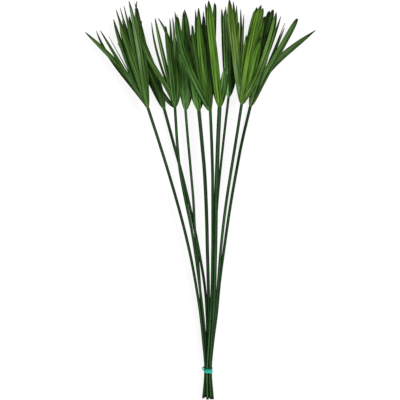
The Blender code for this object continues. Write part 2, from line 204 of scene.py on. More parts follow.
def pathMesh(name, chains, loop=False):
    # Chains of points as bare edges. A point is a dictionary of its place and its other values.
    points = [point for chain in chains for point in chain]
    edges = []
    start = 0
    for chain in chains:
        edges += [(start + i, start + i + 1) for i in range(len(chain) - 1)]
        if loop:
            edges.append((start + len(chain) - 1, start))
        start += len(chain)
    mesh = bpy.data.meshes.new(name)
    mesh.from_pydata([tuple(point["place"]) for point in points], edges, [])
    for key, value in points[0].items():
        if key == "place":
            continue
        if isinstance(value, float):
            layer = mesh.attributes.new(key, "FLOAT", "POINT")
            layer.data.foreach_set("value", [point[key] for point in points])
        elif len(value) == 3:
            layer = mesh.attributes.new(key, "FLOAT_VECTOR", "POINT")
            layer.data.foreach_set("vector", [n for point in points for n in point[key]])
        else:
            layer = mesh.attributes.new(key, "FLOAT_COLOR", "POINT")
            layer.data.foreach_set("color", [n for point in points for n in point[key]])
    piece = bpy.data.objects.new(name, mesh)
    bpy.context.scene.collection.objects.link(piece)
    return piece


def applyTree(source, tree, values, name):
    # Runs the tree on the source and keeps the result as a plain mesh object
    modifier = source.modifiers.new("shape", "NODES")
    modifier.node_group = tree
    for socket in tree.interface.items_tree:
        if socket.item_type == "SOCKET" and socket.in_out == "INPUT" and socket.name in values:
            modifier[socket.identifier] = values[socket.name]
    bpy.context.view_layer.update()
    graph = bpy.context.evaluated_depsgraph_get()
    mesh = bpy.data.meshes.new_from_object(source.evaluated_get(graph), preserve_all_data_layers=True,
                                           depsgraph=graph)
    mesh.name = name
    source.modifiers.remove(modifier)
    bare = source.data
    bpy.data.objects.remove(source, do_unlink=True)
    bpy.data.meshes.remove(bare)
    work = bmesh.new()
    work.from_mesh(mesh)
    bmesh.ops.remove_doubles(work, verts=work.verts, dist=weldDistance)
    bmesh.ops.recalc_face_normals(work, faces=work.faces)
    work.to_mesh(mesh)
    work.free()
    mesh.shade_smooth()
    piece = bpy.data.objects.new(name, mesh)
    bpy.context.scene.collection.objects.link(piece)
    return piece


# The bunch, in millimetres. Its stems take the same courses as the solids do.
bunch = {
    "tieX": 13.4,
    "tieY": -300.0,
    "stemPitch": 4.7,
    "rowAngle": 60.0,
    "rows": 4,
    "tiedRadius": 2.1,  # every stem's at the band
    "lowestRow": 3.58,
    "flare": 1.68,  # how far the rows spread at the cut ends
    "footGap": 0.1,
    "stemTop": 0.3,
    "topLength": 30.0,
    "taperPower": 2.5,
    "stemRows": (100.0, 50.0, 0.0, -50.0, -100.0, -150.0, -200.0, -250.0),
    "layers": ((0.5, 16.5), (23.0, 38.0), (44.5, 59.0), (65.5, 80.0)),  # heights of the leaf tips
    "settle": (0.158, 0.219, -0.052),  # from the lists to the part's origin
    "bowScale": 6.75,
    "risePower": 1.6,
    "riseLength": 196.0,
    "sagPower": 1.3,
    "rootInset": -3.5,
    "sheath": 0.95,  # of the stem's radius
}

# Leaf greens, linear. Bright and sage are partly painted light: they are lifted for blades that lie in the
# shade of others.
greens = {
    "deep": (0.034, 0.092, 0.014),
    "mid": (0.064, 0.148, 0.030),
    "grey": (0.098, 0.190, 0.058),
    "pale": (0.108, 0.232, 0.054),
    "teal": (0.078, 0.180, 0.048),
    "fresh": (0.080, 0.188, 0.022),
    "lime": (0.080, 0.187, 0.019),
    "sage": (0.125, 0.272, 0.082),
    "olive": (0.100, 0.190, 0.034),
    "brown": (0.036, 0.042, 0.014),
    "bright": (0.125, 0.310, 0.060),
}

# A leaf: lean, length, width, low bow, high bow, turn, green (of its root and its tip), outline.
# The leaves of a crown are listed from the lowest up.
# Each crown's greens are scaled by a painted light that evens out the shade the crowns cast on one another;
# below 1 it darkens the crown.
stalks = [
    {
        "crown": (-92.7, 163.6, 26.0), "radius": 2.6, "end": -348.5, "slot": -1.0, "foot": -1.8,
        "tone": 0.75, "row": 2, "paintedCrownLight": 1.0, "layer": 1, "sag": 0.25,
        "across": (-72.1, -56.6, -42.0, -28.6, -17.1, -7.8, -0.2, 5.0),
        "leaves": [
            (-33.7, 162, 6, 0.4, -6.5, 0, "deep", "spear"),
            (-25, 124, 3, 0, 0, 40, "deep", "hair"),
            (-28.7, 142, 3, 0, 0, 40, "deep", "hair"),
            (-19, 150, 12, 0, 0, 0, "brown deep", "spear"),
            (-11.5, 163, 7, 0, 0, 0, "brown", "spear"),
            (-8.5, 150, 9, 0, 0, 0, "deep", "spear"),
            (-15.6, 180, 6.5, 0, 0, 0, "grey", "needle"),
            (-20, 140, 8, 0, 0, 0, "mid", "spear"),
            (-21.2, 165, 9, -2, -3, 0, "deep mid", "spear"),
            (-7.2, 183, 6.5, 1, 2.5, 0, "deep grey", "needle"),
            (-16.4, 158, 6, 0, 0, 0, "mid", "spear"),
            (-12, 160, 6, 0, 0, 0, "grey", "strap"),
            (-3, 105, 6, 0.5, 0, 0, "pale", "spear"),
            (-13.3, 181, 7, 0, 0, 0, "deep mid", "needle"),
            (-31.5, 158, 6, -0.5, -0.5, 15, "grey deep", "spear"),
            (-39.5, 171, 9, 6.6, 3.2, 0, "mid", "spear"),
            (-7.5, 172, 7, 0.5, 2.5, 0, "deep mid", "needle"),
            (-18, 178, 9, 0, 0, 0, "mid olive", "needle"),
            (-10.1, 187, 9.5, 0.5, 2.2, 0, "mid grey", "spear"),
        ],
    },
    {
        "crown": (-64.6, 162.9, 5.5), "radius": 2.6, "end": -347.0, "slot": 0.0, "foot": 0.0,
        "tone": 0.85, "row": 0, "paintedCrownLight": 1.35, "layer": 0, "sag": 0.0,
        "across": (-47.4, -33.8, -21.5, -10.6, -0.9, 7.4, 11.0, 12.3),
        "leaves": [
            (-25, 128, 8, -1, 0, 10, "deep", "spear"),
            (-27.5, 112, 8, 0, 0, 0, "mid", "spear"),
            (-22, 160, 9, -3, -2, 0, "deep", "spear"),
            (-15.4, 188, 6.5, -6, 0, 15, "deep", "needle"),
            (-14.8, 181, 9, -3, -4.2, 15, "deep", "spear"),
            (-24, 100, 7, 2, 0, 10, "mid", "spear"),
            (-15, 150, 8, -3, -3, 10, "deep", "spear"),
            (-17, 140, 9, 4, 0, 0, "mid", "spear"),
            (-14.2, 192, 9.5, -1, -11.5, 0, "deep mid", "needle"),
            (-18, 130, 9, 2, -3, 0, "grey deep", "spear"),
        ],
    },
    {
        "crown": (-44.8, 164.9, 31.0), "radius": 2.45, "end": -347.5, "slot": -0.5, "foot": -0.85,
        "tone": 0.8, "row": 1, "paintedCrownLight": 1.12, "layer": 1, "sag": 0.0,
        "across": (-40.7, -35.6, -26.4, -15.9, -8.1, -1.6, 4.4, 8.6),
        "leaves": [
            (-31, 106, 8.5, -6, -1, 10, "deep", "spear"),
            (-4, 126, 9, 8.5, 3, 0, "bright", "spear"),
            (-3.3, 153, 6, 0, 0, 25, "mid", "spear"),
            (-15.3, 152, 4.5, -1, -4.4, 20, "deep", "spear"),
            (-7, 140, 7, 0, 0, 0, "brown", "spear"),
            (-1.5, 154.5, 6, 0, 2, 10, "pale", "spear"),
            (-12.5, 157, 7.5, 0.6, -1, 0, "mid grey", "spear"),
            (-21, 159, 8, 3, -13.5, 0, "mid", "spear"),
            (-10.7, 155.5, 7, 3, 11, 0, "grey mid", "spear"),
            (-5, 120, 8, 2, 1, 0, "deep", "spear"),
            (-6.3, 140, 7.5, 0, 0, 0, "mid", "spear"),
        ],
    },
    {
        "crown": (-26.5, 160.4, 15.0), "radius": 2.3, "end": -348.0, "slot": -1.0, "foot": -1.75,
        "tone": 1.0, "row": 0, "paintedCrownLight": 1.6, "layer": 0, "sag": 0.0,
        "across": (-21.5, -16.9, -12.5, -9.9, -4.9, -1.1, 2.6, 6.3),
        "leaves": [
            (4.5, 130, 8, 0, 0, 15, "deep", "spear"),
            (-8, 130, 8, -2, 0, 0, "grey", "spear"),
            (-2, 158, 7, 2, 0, 10, "mid", "spear"),
            (9, 112, 8, 4, 0, 0, "mid", "spear"),
            (-4.3, 160, 7, 0, 0, 0, "deep", "spear"),
            (-5.2, 167, 6, 0, 1, 20, "grey deep", "spear"),
            (2, 120, 8, 3, 0, 0, "sage", "spear"),
            (-1.2, 171, 9, 0, -1, 0, "pale mid", "spear"),
            (-0.6, 174, 12, 0, 5.5, 0, "sage mid", "spear"),
            (5, 140, 10, 2, 0, 0, "pale teal", "spear"),
            (-6.2, 171.5, 7, 0, 1, 0, "grey mid", "spear"),
            (-4, 120, 8, -1.5, 0, 0, "pale", "spear"),
        ],
    },
    {
        "crown": (-3.0, 159.0, 31.0), "radius": 3.2, "end": -349.0, "slot": 0.0, "foot": 0.1,
        "tone": 0.9, "row": 2, "paintedCrownLight": 1.42, "layer": 1, "sag": 0.0,
        "across": (2.6, 7.1, 9.7, 11.3, 12.5, 13.8, 14.6, 14.1),
        "leaves": [
            (-14, 120, 8, -4, 0, 0, "sage", "spear"),
            (8, 120, 8, 3, 0, 0, "deep", "spear"),
            (-10, 138, 7, -1, 0, 10, "mid", "spear"),
            (5, 146, 7, 1, 0, 10, "deep", "spear"),
            (-2.0, 174, 6, 0, 0, 10, "deep", "spear"),
            (2.6, 171, 7, 0, 0, 10, "brown", "spear"),
            (-2.6, 140, 8, 0, 0, 0, "teal", "spear"),
            (0, 150, 9, 0, 0, 0, "deep", "spear"),
            (-4, 145, 9, 0, -2, 0, "mid", "spear"),
            (-8, 110, 13, -1, 0, 0, "bright fresh", "spear"),
        ],
    },
    {
        "crown": (17.0, 157.4, 51.0), "radius": 2.65, "end": -350.0, "slot": -0.4, "foot": -0.25,
        "tone": 1.5, "row": 3, "paintedCrownLight": 1.24, "layer": 2, "sag": 0.0,
        "across": (19.4, 21.0, 21.3, 21.4, 21.1, 20.1, 18.2, 14.6),
        "leaves": [
            (-24, 110, 8, -4, 0, 0, "mid", "spear"),
            (-1, 155, 8, 0, -1, 15, "deep", "spear"),
            (1.5, 140, 7, 1, 0, 0, "deep", "spear"),
            (-15, 130, 8, 0, -2, 0, "mid", "spear"),
            (-3.5, 162, 8, 0, -2, 15, "deep", "spear"),
            (-8.3, 171, 8, -2, -4, 10, "deep", "spear"),
            (-12, 150, 9, -2, -3, 0, "deep", "spear"),
            (-6.5, 177, 12, -2, -2.6, 0, "fresh", "spear"),
            (-4.5, 120, 9, 1, 0, 0, "pale mid", "spear"),
            (-19.6, 168, 12, -4, -8, 0, "mid deep", "blunt"),
        ],
    },
    {
        "crown": (33.2, 163.5, 72.0), "radius": 3.6, "end": -349.5, "slot": 0.6, "foot": 1.0,
        "tone": 0.9, "row": 3, "paintedCrownLight": 1.15, "layer": 3, "sag": 0.0,
        "across": (30.3, 28.6, 27.1, 26.5, 25.8, 24.7, 22.6, 19.2),
        "leaves": [
            (-11, 120, 8, -3, 0, 0, "deep", "spear"),
            (14, 58, 7, 2, 0, 0, "mid", "spear"),
            (-5, 150, 9, 1, 0, 0, "mid", "spear"),
            (-9, 144, 8, -1, -1, 10, "mid", "spear"),
            (-7.8, 177, 9, -1, -0.5, 10, "deep", "spear"),
            (-2.5, 175.5, 8, -5.5, -2.1, 0, "deep", "blunt"),
            (7.2, 65, 9, -0.5, 0, 0, "pale", "spear"),
            (-4, 128, 8, 0, -1, 0, "mid", "spear"),
            (-5.9, 181, 13, 0, -1, 0, "fresh", "broad"),
        ],
    },
    {
        "crown": (49.7, 183.5, 10.0), "radius": 2.2, "end": -347.0, "slot": 0.5, "foot": 0.85,
        "tone": 0.7, "row": 1, "paintedCrownLight": 1.6, "layer": 0, "sag": 0.0,
        "across": (40.0, 34.6, 30.0, 26.8, 24.7, 22.7, 20.6, 18.2),
        "leaves": [
            (8, 130, 9, 5, 0, 0, "deep", "spear"),
            (-6, 110, 6, -2, 0, 20, "deep", "spear"),
            (5, 118, 9, 2, 0, 0, "deep", "spear"),
            (-3, 128, 9, -2, 0, 0, "deep", "spear"),
            (3, 140, 9, 0, 0, 0, "mid", "spear"),
            (-4.4, 153, 6.5, -1, -0.8, 10, "deep", "strap"),
            (-0.5, 155, 6, 0, 0, 15, "deep", "spear"),
            (-1.8, 156, 7, 0, 0, 10, "mid", "spear"),
            (-2.3, 150, 12, 0, 0.5, 0, "sage grey", "strap"),
        ],
    },
    {
        "crown": (72.3, 170.4, 31.0), "radius": 2.6, "end": -350.5, "slot": 1.0, "foot": 1.75,
        "tone": 1.0, "row": 2, "paintedCrownLight": 1.09, "layer": 1, "sag": 0.0,
        "across": (61.5, 53.4, 45.7, 39.4, 34.6, 30.7, 26.4, 21.2),
        "leaves": [
            (20, 130, 9, 6, 0, 0, "deep", "spear"),
            (15, 150, 12, 2, 0, 0, "mid", "spear"),
            (24, 166, 7, 4, 2.5, 20, "deep", "spear"),
            (-0.5, 164, 6, 0, 0, 20, "brown", "spear"),
            (7.6, 162, 7, -1, -3.4, 20, "deep", "spear"),
            (1.5, 154, 5, -1, -1, 10, "olive", "spear"),
            (-4.6, 177, 9, 0, 0, 10, "mid", "spear"),
            (-2.9, 170, 7, 0, -1.5, 10, "fresh", "spear"),
            (14.3, 154, 10, -1, 0, 0, "fresh", "strap"),
            (12.6, 168, 10, -2, -1, 5, "mid pale", "blunt"),
            (4, 118, 10, 0, 0, 0, "fresh", "spear"),
            (9.1, 166, 11, -1, -2.5, 0, "fresh", "blunt"),
            (16, 118, 13, 3, 0, 0, "fresh", "spear"),
            (-2, 140, 6, -1, -2, 0, "lime", "spear"),
            (-6.7, 181, 12, 0, -1, 0, "grey olive", "broad"),
            (10.8, 169.5, 12, -1, -2, 0, "lime", "blunt"),
            (20.7, 168, 10.5, 5, 5, 0, "olive", "broad"),
        ],
    },
    {
        "crown": (88.3, 167.1, 8.0), "radius": 2.6, "end": -347.0, "slot": 1.0, "foot": 1.7,
        "tone": 0.7, "row": 0, "paintedCrownLight": 0.85, "layer": 0, "sag": 0.0,
        "across": (72.6, 63.1, 54.3, 46.7, 39.7, 33.3, 28.6, 22.2),
        "leaves": [
            (5.7, 130, 8, 0, 0, 0, "deep", "spear"),
            (40.4, 174, 11.5, -13.9, -5.5, 0, "mid pale", "slim"),
            (9.2, 157, 10, 0, 0, 0, "deep", "blunt"),
            (11.2, 169, 11, 0, 0, 5, "deep", "blunt"),
            (22.5, 156, 3, 0, 0, 0, "grey", "hair"),
            (26.3, 131, 8, 0, 0, 25, "mid", "spear"),
            (23.4, 148, 6, 0, 0, 20, "deep", "spear"),
            (13.2, 171, 11, 0, 0, 0, "deep", "blunt"),
            (28.1, 171, 11, -2, 0, 0, "mid", "blunt"),
            (18, 110, 9, 0, 0, 0, "grey", "spear"),
        ],
    },
]


def smoothValue(places, values, at):
    # the value at a place on a smooth curve through the given ones; the places may run either way
    last = len(places) - 1
    way = 1.0 if places[-1] > places[0] else -1.0
    i = next((n for n in range(last) if at * way <= places[n + 1] * way), last - 1)

    def slope(n):
        a, b = max(n - 1, 0), min(n + 1, last)
        return (values[b] - values[a]) / (places[b] - places[a])

    span = places[i + 1] - places[i]
    t = (at - places[i]) / span
    keep, go = (1 + 2 * t) * (1 - t) ** 2, t * t * (3 - 2 * t)
    lead, trail = t * (1 - t) ** 2, t * t * (t - 1)
    return keep * values[i] + go * values[i + 1] + span * (lead * slope(i) + trail * slope(i + 1))


def stemAt(stalk, y):
    # centre X and Z and radius of a stem, in millimetres
    crownX, crownY, crownZ = stalk["crown"]
    rowPitch = bunch["stemPitch"] * math.sin(math.radians(bunch["rowAngle"]))
    tiedZ = bunch["lowestRow"] + stalk["row"] * rowPitch
    middleZ = bunch["lowestRow"] + (bunch["rows"] - 1) / 2 * rowPitch
    tiedX = bunch["tieX"] + stalk["slot"] * bunch["stemPitch"]
    endX = bunch["tieX"] + stalk["foot"] * bunch["stemPitch"]
    endZ = max(middleZ + (tiedZ - middleZ) * bunch["flare"], bunch["tiedRadius"] + bunch["footGap"])
    places = (crownY, *bunch["stemRows"], bunch["tieY"], stalk["end"])
    x = smoothValue(places, (crownX, *stalk["across"], tiedX, endX), y)
    share = min(1.0, (crownY - y) / (crownY - bunch["tieY"]))
    if y >= bunch["tieY"]:
        z = crownZ + (tiedZ - crownZ) * share
    else:
        z = smoothValue((crownY, bunch["tieY"], stalk["end"]), (crownZ, tiedZ, endZ), y)
    radius = stalk["radius"] + (bunch["tiedRadius"] - stalk["radius"]) * share ** bunch["taperPower"]
    return x, z, radius


def ease(value, start, stop):
    share = min(1.0, max(0.0, (value - start) / (stop - start)))
    return share * share * (3 - 2 * share)


def crownDirection(stalk):
    # unit vector out of the top of a stem
    below = stalk["crown"][1] - bunch["topLength"]
    x, z, _ = stemAt(stalk, below)
    return (Vector(stalk["crown"]) - Vector((x, below, z))).normalized()


def settled(place):
    # from the millimetres of the lists to the frame's metres
    return (Vector(place) + Vector(bunch["settle"])) * mm


# The leaves

leafSizes = {
    "Section points": 20,
    "Fold": 0.2,
    "Thickness": 0.035,
    "Keel": 0.035,
    "Pleat": 0.012,
    "Ripple": 0.55 * mm,
    "Ripple scale": 14.0,
    "Seed": 7.0,
}
leafStations = 34
# a blade's section and the teeth of a torn tip
leafForm = {
    "keelNarrow": 4.0, "pleatTurn": 9.4,  # a keel on the middle quarter, and three pleats a side
    "toothFineness": 1.7, "toothSeed": 3.1, "toothDetail": 1.0, "toothPush": 3.0, "toothPower": 14.0,
}
# how much single blades differ (the twist in degrees), and where the root's green gives way to the tip's
leafVary = {
    "firstSeed": 100, "seedSpread": 50.0, "shade": (0.88, 1.12), "lowestShade": 0.62, "warmth": 0.08,
    "twist": 9.0, "tipCrowding": 1.15, "greenFrom": 0.25, "greenTo": 0.6,
}
# shares of a blade's width from its root to its tip, how torn it is in mm, and where it starts to dry
outlines = {
    "spear": {
        "widths": ((0, 0.3), (0.03, 0.62), (0.1, 0.86), (0.28, 1), (0.5, 1),
                   (0.66, 0.93), (0.8, 0.78), (0.9, 0.56), (0.96, 0.34), (1, 0.12)),
        "tear": 0.0, "dry": 0.9,
    },
    "broad": {
        "widths": ((0, 0.28), (0.03, 0.62), (0.1, 0.88), (0.28, 1), (0.6, 1),
                   (0.76, 0.95), (0.86, 0.84), (0.93, 0.62), (0.97, 0.36), (1, 0.1)),
        "tear": 0.0, "dry": 0.91,
    },
    "slim": {
        "widths": ((0, 0.28), (0.03, 0.42), (0.1, 0.62), (0.28, 0.92), (0.5, 1),
                   (0.66, 0.95), (0.8, 0.78), (0.9, 0.5), (0.96, 0.26), (1, 0.1)),
        "tear": 0.0, "dry": 0.88,
    },
    "strap": {
        "widths": ((0, 0.3), (0.03, 0.66), (0.1, 0.92), (0.28, 1), (0.6, 1),
                   (0.78, 0.93), (0.88, 0.78), (0.94, 0.56), (0.98, 0.32), (1, 0.12)),
        "tear": 1.0, "dry": 0.92,
    },
    "needle": {
        "widths": ((0, 0.32), (0.03, 0.62), (0.1, 0.85), (0.3, 1), (0.6, 1),
                   (0.76, 0.9), (0.84, 0.68), (0.89, 0.46), (0.95, 0.28), (1, 0.14)),
        "tear": 0.0, "dry": 0.88,
    },
    "blunt": {
        "widths": ((0, 0.28), (0.03, 0.64), (0.1, 0.92), (0.28, 1), (0.7, 0.98),
                   (0.86, 0.88), (0.93, 0.76), (0.97, 0.6), (1, 0.34)),
        "tear": 3.5, "dry": 0.93,
    },
    "hair": {
        "widths": ((0, 0.9), (0.3, 0.9), (0.6, 0.8), (0.9, 0.5), (1, 0.4)),
        "tear": 0.0, "dry": 0.2,
    },
}


def buildLeafTree(material):
    tree, make, given = startTree("papyrusLeaf", leafSizes)
    # the section is a flattened ring, folded along the midrib, with a keel below and shallow pleats
    ring, side, up = sectionRing(make, given)
    off = abs(side)
    under = (up * -1.0).most(0.0)
    keel = under * (1.0 - off * leafForm["keelNarrow"]).most(0.0) * given.out("Keel")
    wave = (side * leafForm["pleatTurn"]).sine()
    pleat = wave * wave * given.out("Pleat")
    height = up * given.out("Thickness") * 0.5 + off * given.out("Fold") - keel + pleat
    shaped = make.add("GeometryNodeSetPosition", {}, {
        "Geometry": ring, "Position": make.combine(side * 0.5, height * -1.0, 0.0)})
    section = storeFloat(make, shaped, "leafAcross", side)

    level, width = levelPath(make, given, "leafWidth")
    rolled = make.add("GeometryNodeSetCurveTilt", {}, {
        "Curve": level, "Tilt": namedFloat(make, "leafRoll")})
    blades = make.add("GeometryNodeCurveToMesh", {}, {
        "Curve": rolled, "Profile Curve": section, "Fill Caps": True, "Scale": width})
    # blades aren't flat: a slow ripple lifts them, more and more towards the tip
    lift = slowNoise(make, given, "leafSeed", given.out("Ripple scale")) * given.out("Ripple")
    lift = lift * namedFloat(make, "leafAlong")
    rippled = make.add("GeometryNodeSetPosition", {}, {
        "Geometry": blades, "Offset": make.combine(0.0, 0.0, lift)})
    # blunt blades have a torn end
    push = toothNoise(make, leafForm, "leafAcross", "leafSeed") - 0.5
    push = push * leafForm["toothPush"] * namedFloat(make, "leafTear")
    push = push * namedFloat(make, "leafAlong") ** leafForm["toothPower"]
    pushed = make.add("ShaderNodeVectorMath", {"operation": "SCALE"}, {
        0: namedVector(make, "leafWay"), "Scale": push})
    torn = make.add("GeometryNodeSetPosition", {}, {"Geometry": rippled, "Offset": pushed})
    endTree(make, torn, material)
    return tree


def leafChain(stalk, leaf, tipZ, depth, chance):
    lean, length, width, low, high, turn, green, shape = leaf
    angle = math.radians(lean)
    along = Vector((math.sin(angle), math.cos(angle), 0.0))
    side = Vector((math.cos(angle), -math.sin(angle), 0.0))
    root = Vector(stalk["crown"]) + crownDirection(stalk) * bunch["rootInset"]
    root.z += (2 * depth - 1) * stalk["radius"] * bunch["sheath"]
    drop = max(0.0, -math.sin(angle)) * length * stalk["sag"]
    seed = chance.uniform(0.0, leafVary["seedSpread"])
    # painted shade: lower blades in a crown are darker, and the crown's painted light scales them all
    lowest = leafVary["lowestShade"]
    shade = chance.uniform(*leafVary["shade"]) * (lowest + (1 - lowest) * depth) * stalk["paintedCrownLight"]
    warmth = chance.uniform(-leafVary["warmth"], leafVary["warmth"])
    rootGreen, tipGreen = (Vector(greens[word]) * shade for word in (green.split()[0], green.split()[-1]))
    twist = chance.uniform(-leafVary["twist"], leafVary["twist"])
    outline = outlines[shape]
    places, widths = zip(*outline["widths"])
    whole = length - bunch["rootInset"]
    chain = []
    for n in range(leafStations):
        share = n / (leafStations - 1)
        share = 1 - (1 - share) ** leafVary["tipCrowding"]
        lowPart = bunch["bowScale"] * share * (1 - share) ** 2 * low
        highPart = bunch["bowScale"] * share ** 2 * (1 - share) * high
        place = root + along * whole * share + side * (lowPart + highPart)
        gone = ease(share, leafVary["greenFrom"], leafVary["greenTo"])
        red, greenPart, blue = rootGreen.lerp(tipGreen, gone)
        # blades rise with their distance from the knob, so that they keep their order
        rise = 1 - max(0.0, 1 - share * whole / bunch["riseLength"]) ** bunch["risePower"]
        place.z = root.z + (tipZ - root.z) * rise - drop * share ** bunch["sagPower"]
        chain.append({
            "place": settled(place),
            "leafWidth": width * mm * smoothValue(places, widths, share),
            "leafRoll": math.radians(turn + twist * share),
            "leafAlong": share,
            "leafSeed": seed,
            "leafTear": outline["tear"] * mm,
            "leafWay": tuple(along),
            "leafDry": outline["dry"],
            "leafTint": (red * (1 + warmth), greenPart, blue * (1 - warmth), 1.0),
        })
    return chain


def buildLeaves(tree, collarTree):
    for number, stalk in enumerate(stalks, 1):
        chance = random.Random(leafVary["firstSeed"] + number)
        lowest, highest = bunch["layers"][stalk["layer"]]
        steps = len(stalk["leaves"]) - 1
        chains = [leafChain(stalk, leaf, lowest + (highest - lowest) * i / steps, i / steps, chance)
                  for i, leaf in enumerate(stalk["leaves"])]
        name = f"papyrusLeaves{number:02d}"
        leaves = applyTree(pathMesh(name + "Path", chains), tree, leafSizes, name)
        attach(leaves, "root")
        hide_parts(f"leaf_crown_{number:02d}")

        direction = crownDirection(stalk)
        base = Vector(stalk["crown"])
        collarLine = [{
            "place": settled(base + direction * offset),
            "tubeRadius": (stalk["radius"] + wider) * mm,
            "tubeAlong": share,
            "tubeSeed": float(number),
            "tubeFlush": 0.0,
            "tubeTone": 1.0,
        } for offset, wider, share in collarRings]
        name = f"leafCollar{number:02d}"
        collar = applyTree(pathMesh(name + "Path", [collarLine]), collarTree, collarSizes, name)
        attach(collar, "root")
    print("leaves made:", sum(len(stalk["leaves"]) for stalk in stalks))


# The stems, and the collars that the leaves leave them from

stemSizes = {"Section points": 22, "Ridges": 7.0, "Ridge height": 0.035, "Bend": 0.25 * mm,
             "Frayed": 1.6 * mm, "Seed": 3.0}
stemStations = 90
flushedStems = (9,)
# a tube's slow bends and the teeth of its cut end
tubeForm = {
    "bendScale": 18.0,
    "toothFineness": 9.0, "toothSeed": 5.3, "toothDetail": 2.0, "toothEdges": (0.35, 0.65), "endPower": 400.0,
}
collarSizes = {"Section points": 22, "Ridges": 5.0, "Ridge height": 0.05, "Bend": 0.0,
               "Frayed": 0.0, "Seed": 5.0}
# how far past the crown's place, how much wider than the stem, and the share of the collar's length
collarRings = ((-1.6, 0.02, 0.0), (-0.8, 0.08, 0.1), (0.4, 0.14, 0.25), (1.6, 0.2, 0.45), (2.8, 0.1, 0.65),
               (3.8, -0.3, 0.8), (4.6, -0.8, 0.92), (5.0, -1.3, 1.0))


def buildTubeTree(name, sizes, material):
    # a ribbed tube along a path
    tree, make, given = startTree(name, sizes)
    ring, x, y = sectionRing(make, given)
    around = make.add("ShaderNodeMath", {"operation": "ARCTAN2"}, {0: y, 1: x})
    ribbed = 1.0 + (around * given.out("Ridges")).sine() * given.out("Ridge height")
    shaped = make.add("GeometryNodeSetPosition", {}, {
        "Geometry": ring, "Position": make.combine(x * ribbed, y * ribbed, 0.0)})
    section = storeFloat(make, shaped, "tubeAround", around / math.tau + 0.5)

    level, radius = levelPath(make, given, "tubeRadius")
    tube = make.add("GeometryNodeCurveToMesh", {}, {
        "Curve": level, "Profile Curve": section, "Fill Caps": True, "Scale": radius})
    push = slowNoise(make, given, "tubeSeed", tubeForm["bendScale"]) * given.out("Bend")
    # the cut end is uneven: its last ring is drawn back here and there
    teeth = toothNoise(make, tubeForm, "tubeAround", "tubeSeed")
    frayed = make.range(teeth, *tubeForm["toothEdges"]) * given.out("Frayed")
    frayed = frayed * namedFloat(make, "tubeAlong") ** tubeForm["endPower"]
    bent = make.add("GeometryNodeSetPosition", {}, {
        "Geometry": tube, "Offset": make.combine(push, frayed, 0.0)})
    endTree(make, bent, material)
    return tree


def buildStems(tree):
    for number, stalk in enumerate(stalks, 1):
        direction = crownDirection(stalk)
        top = Vector(stalk["crown"]) - direction * bunch["stemTop"]
        line = []
        for n in range(stemStations):
            share = n / (stemStations - 1)
            y = top.y + (stalk["end"] - top.y) * share
            x, z, radius = stemAt(stalk, y)
            line.append({
                "place": settled((x, y, z)),
                "tubeRadius": radius * mm,
                "tubeAlong": share,
                "tubeSeed": float(number),
                "tubeFlush": 1.0 if number in flushedStems else 0.0,
                "tubeTone": stalk["tone"],
            })
        name = f"papyrusStem{number:02d}"
        stem = applyTree(pathMesh(name + "Path", [line]), tree, stemSizes, name)
        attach(stem, "root")
        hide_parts(f"stem_{number:02d}")
    print("stems made:", len(stalks))


# The rubber band, in millimetres and degrees. Its bight is the slack loop at the upper left.

band = {
    "width": 2.1, "thickness": 1.1, "corner": 0.45,  # the power that makes its section square
    "turns": 4, "start": 60.0, "stop": 165.0,  # where the turns begin and end, from the right over the top
    "crossing": 105.0, "dive": 0.4,  # the last strand, and the share of it that crosses the turns
    "reach": 4.2, "higher": 1.5, "tilt": -0.57,  # up and down from a middle above the tie, higher at the left
    "fall": 60.0, "rise": 45.0,  # where the first turn comes down and the last one goes up
    "slump": 2.6, "bight": 1.8, "clearance": 0.35, "gap": 0.05,
    "shadeFrom": (370.0, 330.0), "shadeTo": (175.0, 125.0),  # degrees before the turns' end
    "stations": 540, "softening": 7,
}
bandSizes = {"Section points": 20, "Width": band["width"] * mm, "Thickness": band["thickness"] * mm}


def hullPoint(angle, y, lift):
    # middle of the band round the tied stems, for the outward direction at an angle
    out = Vector((math.cos(angle), 0.0, math.sin(angle)))
    reach = band["gap"] + band["thickness"] / 2 + lift
    best = None
    for stalk in stalks:
        x, z, radius = stemAt(stalk, y)
        point = Vector((x, y, z)) + out * (radius + reach)
        if best is None or point.dot(out) > best.dot(out):
            best = point
    return best, out


